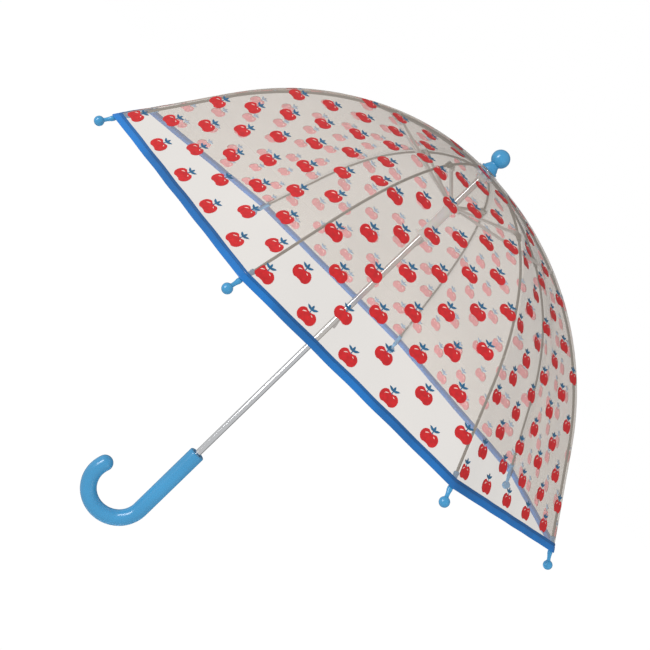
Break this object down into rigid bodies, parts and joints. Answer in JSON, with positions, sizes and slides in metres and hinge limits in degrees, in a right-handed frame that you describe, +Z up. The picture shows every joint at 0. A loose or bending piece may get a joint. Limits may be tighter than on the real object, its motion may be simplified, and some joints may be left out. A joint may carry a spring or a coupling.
{
  "type": "children's dome umbrella",
  "caption": "Open child's dome umbrella of clear printed film with blue edge binding, folding steel ribs and stretchers, sliding runner, round ferrule and crook handle.",
  "frame": {"origin": "on the shaft's axis, at the middle of the straight grip", "axes": "+Z up the shaft from grip to ferrule; the hook bends towards -X; +Y completes the right-handed set"},
  "size_m": [0.6914, 0.6914, 0.6531],
  "materials": {
    "shaft_steel": "bright plated steel tube",
    "blue_plastic": "glossy sky-blue moulded plastic",
    "white_plastic": "milky white moulded plastic",
    "clear_plastic": "clear soft plastic",
    "wire": "plain steel wire and pins",
    "rib_steel": "dark grey coated rod",
    "stretcher_steel": "zinc-plated channel",
    "film": "clear glossy film with red and blue print",
    "binding": "satin blue vinyl binding tape"
  },
  "bodies": {
    "root": {"shaft": "shaft_steel", "handle": "blue_plastic", "notch": "white_plastic", "notch_ring": "wire", "top_washer": "clear_plastic", "ferrule": "blue_plastic", "hem": "binding", "panel_1": "film", "panel_2": "film", "panel_3": "film", "panel_4": "film", "panel_5": "film", "panel_6": "film", "panel_7": "film", "panel_8": "film"},
    "rib_1": {"rib_upper_1": "rib_steel", "knee_pin_1": "wire"},
    "outer_rib_1": {"rib_lower_1": "rib_steel", "rib_tip_1": "blue_plastic"},
    "strut_1": {"stretcher_1": "stretcher_steel"},
    "rib_2": {"rib_upper_2": "rib_steel", "knee_pin_2": "wire"},
    "outer_rib_2": {"rib_lower_2": "rib_steel", "rib_tip_2": "blue_plastic"},
    "strut_2": {"stretcher_2": "stretcher_steel"},
    "rib_3": {"rib_upper_3": "rib_steel", "knee_pin_3": "wire"},
    "outer_rib_3": {"rib_lower_3": "rib_steel", "rib_tip_3": "blue_plastic"},
    "strut_3": {"stretcher_3": "stretcher_steel"},
    "rib_4": {"rib_upper_4": "rib_steel", "knee_pin_4": "wire"},
    "outer_rib_4": {"rib_lower_4": "rib_steel", "rib_tip_4": "blue_plastic"},
    "strut_4": {"stretcher_4": "stretcher_steel"},
    "rib_5": {"rib_upper_5": "rib_steel", "knee_pin_5": "wire"},
    "outer_rib_5": {"rib_lower_5": "rib_steel", "rib_tip_5": "blue_plastic"},
    "strut_5": {"stretcher_5": "stretcher_steel"},
    "rib_6": {"rib_upper_6": "rib_steel", "knee_pin_6": "wire"},
    "outer_rib_6": {"rib_lower_6": "rib_steel", "rib_tip_6": "blue_plastic"},
    "strut_6": {"stretcher_6": "stretcher_steel"},
    "rib_7": {"rib_upper_7": "rib_steel", "knee_pin_7": "wire"},
    "outer_rib_7": {"rib_lower_7": "rib_steel", "rib_tip_7": "blue_plastic"},
    "strut_7": {"stretcher_7": "stretcher_steel"},
    "rib_8": {"rib_upper_8": "rib_steel", "knee_pin_8": "wire"},
    "outer_rib_8": {"rib_lower_8": "rib_steel", "rib_tip_8": "blue_plastic"},
    "strut_8": {"stretcher_8": "stretcher_steel"},
    "runner": {"runner": "white_plastic", "runner_ring": "wire"},
    "thumb_catch_top": {"top_catch": "wire"},
    "thumb_catch_bottom": {"bottom_catch": "wire"}
  },
  "joints": [
    {"name": "rib_1_fold", "type": "hinge", "parent": "root", "child": "rib_1", "pos_m": [0.00831, 0.00344, 0.52237], "axis": [-0.3827, 0.9239, 0], "range_deg": [0, 71], "deforming": ["panel_1", "panel_2", "panel_3", "panel_4", "panel_5", "panel_6", "panel_7", "panel_8", "hem", "top_catch", "bottom_catch"]},
    {"name": "rib_1_bend", "type": "hinge", "parent": "rib_1", "child": "outer_rib_1", "pos_m": [0.12472, 0.05166, 0.49622], "axis": [-0.3827, 0.9239, 0], "range_deg": [-32.41, 0.1]},
    {"name": "strut_1_knee", "type": "hinge", "parent": "rib_1", "child": "strut_1", "pos_m": [0.12472, 0.05166, 0.49622], "axis": [-0.3827, 0.9239, 0], "range_deg": [-142.2, 0.2]},
    {"name": "rib_2_fold", "type": "hinge", "parent": "root", "child": "rib_2", "pos_m": [0.00344, 0.00831, 0.52237], "axis": [-0.9239, 0.3827, 0], "range_deg": [-0.1, 71.1]},
    {"name": "rib_2_bend", "type": "hinge", "parent": "rib_2", "child": "outer_rib_2", "pos_m": [0.05166, 0.12472, 0.49622], "axis": [-0.9239, 0.3827, 0], "range_deg": [-32.41, 0.1]},
    {"name": "strut_2_knee", "type": "hinge", "parent": "rib_2", "child": "strut_2", "pos_m": [0.05166, 0.12472, 0.49622], "axis": [-0.9239, 0.3827, 0], "range_deg": [-142.2, 0.2]},
    {"name": "rib_3_fold", "type": "hinge", "parent": "root", "child": "rib_3", "pos_m": [-0.00344, 0.00831, 0.52237], "axis": [-0.9239, -0.3827, 0], "range_deg": [-0.1, 71.1]},
    {"name": "rib_3_bend", "type": "hinge", "parent": "rib_3", "child": "outer_rib_3", "pos_m": [-0.05166, 0.12472, 0.49622], "axis": [-0.9239, -0.3827, 0], "range_deg": [-32.41, 0.1]},
    {"name": "strut_3_knee", "type": "hinge", "parent": "rib_3", "child": "strut_3", "pos_m": [-0.05166, 0.12472, 0.49622], "axis": [-0.9239, -0.3827, 0], "range_deg": [-142.2, 0.2]},
    {"name": "rib_4_fold", "type": "hinge", "parent": "root", "child": "rib_4", "pos_m": [-0.00831, 0.00344, 0.52237], "axis": [-0.3827, -0.9239, 0], "range_deg": [-0.1, 71.1]},
    {"name": "rib_4_bend", "type": "hinge", "parent": "rib_4", "child": "outer_rib_4", "pos_m": [-0.12472, 0.05166, 0.49622], "axis": [-0.3827, -0.9239, 0], "range_deg": [-32.41, 0.1]},
    {"name": "strut_4_knee", "type": "hinge", "parent": "rib_4", "child": "strut_4", "pos_m": [-0.12472, 0.05166, 0.49622], "axis": [-0.3827, -0.9239, 0], "range_deg": [-142.2, 0.2]},
    {"name": "rib_5_fold", "type": "hinge", "parent": "root", "child": "rib_5", "pos_m": [-0.00831, -0.00344, 0.52237], "axis": [0.3827, -0.9239, 0], "range_deg": [-0.1, 71.1]},
    {"name": "rib_5_bend", "type": "hinge", "parent": "rib_5", "child": "outer_rib_5", "pos_m": [-0.12472, -0.05166, 0.49622], "axis": [0.3827, -0.9239, 0], "range_deg": [-32.41, 0.1]},
    {"name": "strut_5_knee", "type": "hinge", "parent": "rib_5", "child": "strut_5", "pos_m": [-0.12472, -0.05166, 0.49622], "axis": [0.3827, -0.9239, 0], "range_deg": [-142.2, 0.2]},
    {"name": "rib_6_fold", "type": "hinge", "parent": "root", "child": "rib_6", "pos_m": [-0.00344, -0.00831, 0.52237], "axis": [0.9239, -0.3827, 0], "range_deg": [-0.1, 71.1]},
    {"name": "rib_6_bend", "type": "hinge", "parent": "rib_6", "child": "outer_rib_6", "pos_m": [-0.05166, -0.12472, 0.49622], "axis": [0.9239, -0.3827, 0], "range_deg": [-32.41, 0.1]},
    {"name": "strut_6_knee", "type": "hinge", "parent": "rib_6", "child": "strut_6", "pos_m": [-0.05166, -0.12472, 0.49622], "axis": [0.9239, -0.3827, 0], "range_deg": [-142.2, 0.2]},
    {"name": "rib_7_fold", "type": "hinge", "parent": "root", "child": "rib_7", "pos_m": [0.00344, -0.00831, 0.52237], "axis": [0.9239, 0.3827, 0], "range_deg": [-0.1, 71.1]},
    {"name": "rib_7_bend", "type": "hinge", "parent": "rib_7", "child": "outer_rib_7", "pos_m": [0.05166, -0.12472, 0.49622], "axis": [0.9239, 0.3827, 0], "range_deg": [-32.41, 0.1]},
    {"name": "strut_7_knee", "type": "hinge", "parent": "rib_7", "child": "strut_7", "pos_m": [0.05166, -0.12472, 0.49622], "axis": [0.9239, 0.3827, 0], "range_deg": [-142.2, 0.2]},
    {"name": "rib_8_fold", "type": "hinge", "parent": "root", "child": "rib_8", "pos_m": [0.00831, -0.00344, 0.52237], "axis": [0.3827, 0.9239, 0], "range_deg": [-0.1, 71.1]},
    {"name": "rib_8_bend", "type": "hinge", "parent": "rib_8", "child": "outer_rib_8", "pos_m": [0.12472, -0.05166, 0.49622], "axis": [0.3827, 0.9239, 0], "range_deg": [-32.41, 0.1]},
    {"name": "strut_8_knee", "type": "hinge", "parent": "rib_8", "child": "strut_8", "pos_m": [0.12472, -0.05166, 0.49622], "axis": [0.3827, 0.9239, 0], "range_deg": [-142.2, 0.2]},
    {"name": "runner_on_strut", "type": "hinge", "parent": "strut_1", "child": "runner", "pos_m": [0.00831, 0.00344, 0.47006], "axis": [-0.3827, 0.9239, 0], "range_deg": [-0.1, 71.1]},
    {"name": "top_catch_press", "type": "hinge", "parent": "root", "child": "thumb_catch_top", "pos_m": [0.00265, 0, 0.37366], "axis": [0, -1, 0], "range_deg": [0, 4.5], "stiffness_Nm_per_rad": 0.8, "springref_deg": -5.73},
    {"name": "bottom_catch_press", "type": "hinge", "parent": "root", "child": "thumb_catch_bottom", "pos_m": [0.00265, 0, 0.31747], "axis": [0, 1, 0], "range_deg": [0, 4.5], "stiffness_Nm_per_rad": 0.8, "springref_deg": -5.73}
  ],
  "couplings": [
    {"joint": "rib_1_bend", "follows": "rib_1_fold", "ratio": -0.455},
    {"joint": "strut_1_knee", "follows": "rib_1_fold", "ratio": -2},
    {"joint": "rib_2_fold", "follows": "rib_1_fold", "ratio": 1},
    {"joint": "rib_2_bend", "follows": "rib_1_fold", "ratio": -0.455},
    {"joint": "strut_2_knee", "follows": "rib_1_fold", "ratio": -2},
    {"joint": "rib_3_fold", "follows": "rib_1_fold", "ratio": 1},
    {"joint": "rib_3_bend", "follows": "rib_1_fold", "ratio": -0.455},
    {"joint": "strut_3_knee", "follows": "rib_1_fold", "ratio": -2},
    {"joint": "rib_4_fold", "follows": "rib_1_fold", "ratio": 1},
    {"joint": "rib_4_bend", "follows": "rib_1_fold", "ratio": -0.455},
    {"joint": "strut_4_knee", "follows": "rib_1_fold", "ratio": -2},
    {"joint": "rib_5_fold", "follows": "rib_1_fold", "ratio": 1},
    {"joint": "rib_5_bend", "follows": "rib_1_fold", "ratio": -0.455},
    {"joint": "strut_5_knee", "follows": "rib_1_fold", "ratio": -2},
    {"joint": "rib_6_fold", "follows": "rib_1_fold", "ratio": 1},
    {"joint": "rib_6_bend", "follows": "rib_1_fold", "ratio": -0.455},
    {"joint": "strut_6_knee", "follows": "rib_1_fold", "ratio": -2},
    {"joint": "rib_7_fold", "follows": "rib_1_fold", "ratio": 1},
    {"joint": "rib_7_bend", "follows": "rib_1_fold", "ratio": -0.455},
    {"joint": "strut_7_knee", "follows": "rib_1_fold", "ratio": -2},
    {"joint": "rib_8_fold", "follows": "rib_1_fold", "ratio": 1},
    {"joint": "rib_8_bend", "follows": "rib_1_fold", "ratio": -0.455},
    {"joint": "strut_8_knee", "follows": "rib_1_fold", "ratio": -2},
    {"joint": "runner_on_strut", "follows": "rib_1_fold", "ratio": 1}
  ]
}
